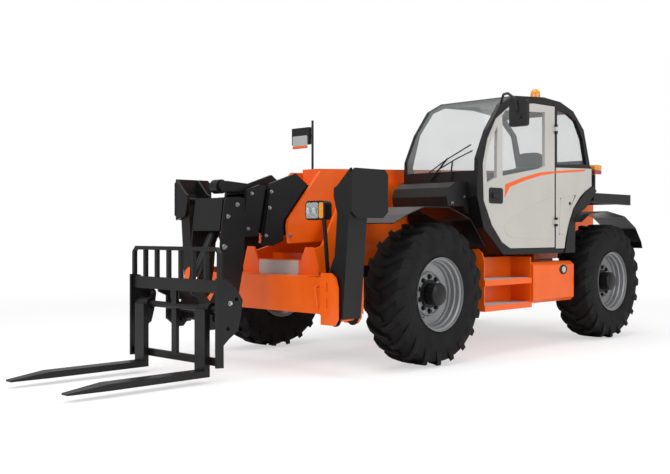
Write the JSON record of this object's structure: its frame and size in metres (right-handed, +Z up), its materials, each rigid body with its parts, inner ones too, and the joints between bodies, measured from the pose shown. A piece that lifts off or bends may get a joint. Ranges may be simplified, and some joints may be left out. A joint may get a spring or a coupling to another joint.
{
  "type": "telescopic handler with fork carriage and front stabilizers",
  "caption": "Four-wheel telescopic handler with side cab, sectioned lifting boom, fork carriage, steered wheels and swing-out front stabilizers.",
  "frame": {"origin": "on the ground under the middle of the machine's overall length and width, with the fork tips and the left mirror counted", "axes": "+X forward to the forks, +Y to the driver's left (the cab side), +Z up"},
  "size_m": [7.365, 2.75, 2.6898],
  "materials": {
    "orange_paint": "gloss orange enamel on steel",
    "black_paint": "satin black enamel on steel",
    "grey_paint": "satin light grey enamel on steel",
    "rim_paint": "silver grey wheel enamel",
    "tyre_rubber": "moulded black rubber",
    "chrome_rod": "hard chrome, ground",
    "black_plastic": "moulded black polypropylene",
    "window_glass": "tinted safety glass",
    "seat_fabric": "woven seat cloth over foam",
    "lamp_plastic": "black lamp housing",
    "tail_plastic": "red lens plastic",
    "amber_plastic": "amber lens plastic",
    "engine_iron": "cast iron"
  },
  "bodies": {
    "chassis": {"main_frame": "orange_paint", "front_crossmember": "orange_paint", "axle_front": "black_paint", "axle_rear": "black_paint", "engine_block": "engine_iron", "engine_shelf": "black_paint", "cab_frame": "black_paint", "windscreen": "window_glass", "cab_windows": "window_glass", "seat": "seat_fabric", "console": "black_plastic", "steering_wheel": "black_plastic", "cowl": "black_plastic", "steps": "orange_paint", "tank_box": "orange_paint", "mudguard_front_left": "black_plastic", "mudguard_front_right": "black_plastic", "mudguard_rear_left": "black_plastic", "mudguard_rear_right": "black_plastic", "headlamp_left": "lamp_plastic", "headlamp_right": "lamp_plastic", "rear_arm": "black_paint", "tail_lamp": "tail_plastic", "mirror_left": "black_plastic", "mirror_right": "black_plastic", "beacon": "amber_plastic"},
    "door": {"door": "grey_paint", "door_glass": "window_glass"},
    "hood": {"hood": "grey_paint"},
    "boom_outer": {"boom_outer": "orange_paint"},
    "boom_second": {"boom_second": "black_paint"},
    "boom_third": {"boom_third": "black_paint"},
    "boom_inner": {"boom_inner": "black_paint"},
    "carriage": {"carriage": "black_paint"},
    "fork_left": {"fork_left": "black_paint"},
    "fork_right": {"fork_right": "black_paint"},
    "lift_barrel": {"lift_barrel": "black_paint"},
    "lift_rod": {"lift_rod": "chrome_rod"},
    "tilt_barrel": {"tilt_barrel": "black_paint"},
    "tilt_rod": {"tilt_rod": "chrome_rod"},
    "stabilizer_leg_left": {"stabilizer_leg_left": "black_paint"},
    "stabilizer_pad_left": {"stabilizer_pad_left": "black_paint"},
    "stabilizer_barrel_left": {"stabilizer_barrel_left": "black_paint"},
    "stabilizer_rod_left": {"stabilizer_rod_left": "chrome_rod"},
    "knuckle_front_left": {"knuckle_front_left": "black_paint"},
    "wheel_front_left": {"rim_front_left": "rim_paint", "tyre_front_left": "tyre_rubber"},
    "knuckle_rear_left": {"knuckle_rear_left": "black_paint"},
    "wheel_rear_left": {"rim_rear_left": "rim_paint", "tyre_rear_left": "tyre_rubber"},
    "stabilizer_leg_right": {"stabilizer_leg_right": "black_paint"},
    "stabilizer_pad_right": {"stabilizer_pad_right": "black_paint"},
    "stabilizer_barrel_right": {"stabilizer_barrel_right": "black_paint"},
    "stabilizer_rod_right": {"stabilizer_rod_right": "chrome_rod"},
    "knuckle_front_right": {"knuckle_front_right": "black_paint"},
    "wheel_front_right": {"rim_front_right": "rim_paint", "tyre_front_right": "tyre_rubber"},
    "knuckle_rear_right": {"knuckle_rear_right": "black_paint"},
    "wheel_rear_right": {"rim_rear_right": "rim_paint", "tyre_rear_right": "tyre_rubber"}
  },
  "joints": [
    {"name": "boom_lift", "type": "hinge", "parent": "chassis", "child": "boom_outer", "pos_m": [-3.3825, -0.165, 1.556], "axis": [0, -1, 0], "range_deg": [0, 70]},
    {"name": "boom_extend", "type": "slide", "parent": "boom_outer", "child": "boom_second", "axis": [0.9992, 0, -0.0401], "range_m": [0, 3.6]},
    {"name": "boom_extend_third", "type": "slide", "parent": "boom_second", "child": "boom_third", "axis": [0.9992, 0, -0.0401], "range_m": [0, 3.6]},
    {"name": "boom_extend_inner", "type": "slide", "parent": "boom_third", "child": "boom_inner", "axis": [0.9992, 0, -0.0401], "range_m": [0, 3.6]},
    {"name": "carriage_tilt", "type": "hinge", "parent": "boom_inner", "child": "carriage", "pos_m": [2.2175, -0.165, 0.47], "axis": [0, 1, 0], "range_deg": [-13, 110]},
    {"name": "fork_slide_left", "type": "slide", "parent": "carriage", "child": "fork_left", "axis": [0, 1, 0], "range_m": [-0.28, 0.08]},
    {"name": "fork_slide_right", "type": "slide", "parent": "carriage", "child": "fork_right", "axis": [0, -1, 0], "range_m": [-0.28, 0.08]},
    {"name": "lift_barrel_turn", "type": "hinge", "parent": "chassis", "child": "lift_barrel", "pos_m": [-1.0325, -0.165, 0.62], "axis": [0, -1, 0], "range_deg": [-24.61, 0.5]},
    {"name": "lift_rod_slide", "type": "slide", "parent": "lift_barrel", "child": "lift_rod", "axis": [-0.9613, 0, 0.2756], "range_m": [-0.01, 0.48]},
    {"name": "tilt_barrel_turn", "type": "hinge", "parent": "boom_inner", "child": "tilt_barrel", "pos_m": [1.9875, -0.165, 1.29], "axis": [0, 1, 0], "range_deg": [-2, 6.58]},
    {"name": "tilt_rod_slide", "type": "slide", "parent": "tilt_barrel", "child": "tilt_rod", "axis": [0.4645, 0, -0.8855], "range_m": [-0.06, 0.375]},
    {"name": "steer_front_left", "type": "hinge", "parent": "chassis", "child": "knuckle_front_left", "pos_m": [0.5025, 0.625, 0.63], "axis": [0, 0, 1], "range_deg": [-35, 35]},
    {"name": "roll_front_left", "type": "hinge", "parent": "knuckle_front_left", "child": "wheel_front_left", "pos_m": [0.5025, 0.845, 0.63], "axis": [0, 1, 0], "continuous": true},
    {"name": "steer_front_right", "type": "hinge", "parent": "chassis", "child": "knuckle_front_right", "pos_m": [0.5025, -0.955, 0.63], "axis": [0, 0, 1], "range_deg": [-35, 35]},
    {"name": "roll_front_right", "type": "hinge", "parent": "knuckle_front_right", "child": "wheel_front_right", "pos_m": [0.5025, -1.175, 0.63], "axis": [0, 1, 0], "continuous": true},
    {"name": "steer_rear_left", "type": "hinge", "parent": "chassis", "child": "knuckle_rear_left", "pos_m": [-2.5675, 0.625, 0.63], "axis": [0, 0, 1], "range_deg": [-35, 35]},
    {"name": "roll_rear_left", "type": "hinge", "parent": "knuckle_rear_left", "child": "wheel_rear_left", "pos_m": [-2.5675, 0.845, 0.63], "axis": [0, 1, 0], "continuous": true},
    {"name": "steer_rear_right", "type": "hinge", "parent": "chassis", "child": "knuckle_rear_right", "pos_m": [-2.5675, -0.955, 0.63], "axis": [0, 0, 1], "range_deg": [-35, 35]},
    {"name": "roll_rear_right", "type": "hinge", "parent": "knuckle_rear_right", "child": "wheel_rear_right", "pos_m": [-2.5675, -1.175, 0.63], "axis": [0, 1, 0], "continuous": true},
    {"name": "door_hinge", "type": "hinge", "parent": "chassis", "child": "door", "pos_m": [-1.48694, 0.972, 1.7], "axis": [0, 0, 1], "range_deg": [0, 95]},
    {"name": "hood_hinge", "type": "hinge", "parent": "chassis", "child": "hood", "pos_m": [-1.1825, -0.567, 1.548], "axis": [-1, 0, 0], "range_deg": [0, 65]},
    {"name": "stabilizer_swing_left", "type": "hinge", "parent": "chassis", "child": "stabilizer_leg_left", "pos_m": [1.4675, 0.785, 0.47], "axis": [-1, 0, 0], "range_deg": [0, 105]},
    {"name": "stabilizer_pad_turn_left", "type": "hinge", "parent": "stabilizer_leg_left", "child": "stabilizer_pad_left", "pos_m": [1.4675, 0.865, 1.48], "axis": [-1, 0, 0], "range_deg": [-16, 1]},
    {"name": "stabilizer_barrel_turn_left", "type": "hinge", "parent": "chassis", "child": "stabilizer_barrel_left", "pos_m": [1.4675, 0.555, 0.62], "axis": [-1, 0, 0], "range_deg": [-1, 84.41]},
    {"name": "stabilizer_rod_slide_left", "type": "slide", "parent": "stabilizer_barrel_left", "child": "stabilizer_rod_left", "axis": [0, 0.4388, 0.8986], "range_m": [-0.005, 0.375]},
    {"name": "stabilizer_swing_right", "type": "hinge", "parent": "chassis", "child": "stabilizer_leg_right", "pos_m": [1.4675, -1.115, 0.47], "axis": [1, 0, 0], "range_deg": [0, 105]},
    {"name": "stabilizer_pad_turn_right", "type": "hinge", "parent": "stabilizer_leg_right", "child": "stabilizer_pad_right", "pos_m": [1.4675, -1.195, 1.48], "axis": [1, 0, 0], "range_deg": [-16, 1]},
    {"name": "stabilizer_barrel_turn_right", "type": "hinge", "parent": "chassis", "child": "stabilizer_barrel_right", "pos_m": [1.4675, -0.885, 0.62], "axis": [1, 0, 0], "range_deg": [-1, 84.41]},
    {"name": "stabilizer_rod_slide_right", "type": "slide", "parent": "stabilizer_barrel_right", "child": "stabilizer_rod_right", "axis": [0, -0.4388, 0.8986], "range_m": [-0.005, 0.375]}
  ],
  "couplings": [
    {"joint": "boom_extend_third", "follows": "boom_extend", "ratio": 1},
    {"joint": "boom_extend_inner", "follows": "boom_extend", "ratio": 1},
    {"joint": "lift_barrel_turn", "follows": "boom_lift", "ratio": -0.34436},
    {"joint": "lift_rod_slide", "follows": "boom_lift", "m_per_rad": 0.3847},
    {"joint": "tilt_barrel_turn", "follows": "carriage_tilt", "ratio": 0.0507},
    {"joint": "tilt_rod_slide", "follows": "carriage_tilt", "m_per_rad": 0.19012},
    {"joint": "steer_front_right", "follows": "steer_front_left", "ratio": 1},
    {"joint": "steer_rear_right", "follows": "steer_rear_left", "ratio": 1},
    {"joint": "stabilizer_pad_turn_left", "follows": "stabilizer_swing_left", "ratio": -0.14286},
    {"joint": "stabilizer_barrel_turn_left", "follows": "stabilizer_swing_left", "ratio": 0.79442},
    {"joint": "stabilizer_rod_slide_left", "follows": "stabilizer_swing_left", "m_per_rad": 0.19916},
    {"joint": "stabilizer_pad_turn_right", "follows": "stabilizer_swing_right", "ratio": -0.14286},
    {"joint": "stabilizer_barrel_turn_right", "follows": "stabilizer_swing_right", "ratio": 0.79442},
    {"joint": "stabilizer_rod_slide_right", "follows": "stabilizer_swing_right", "m_per_rad": 0.19916}
  ]
}
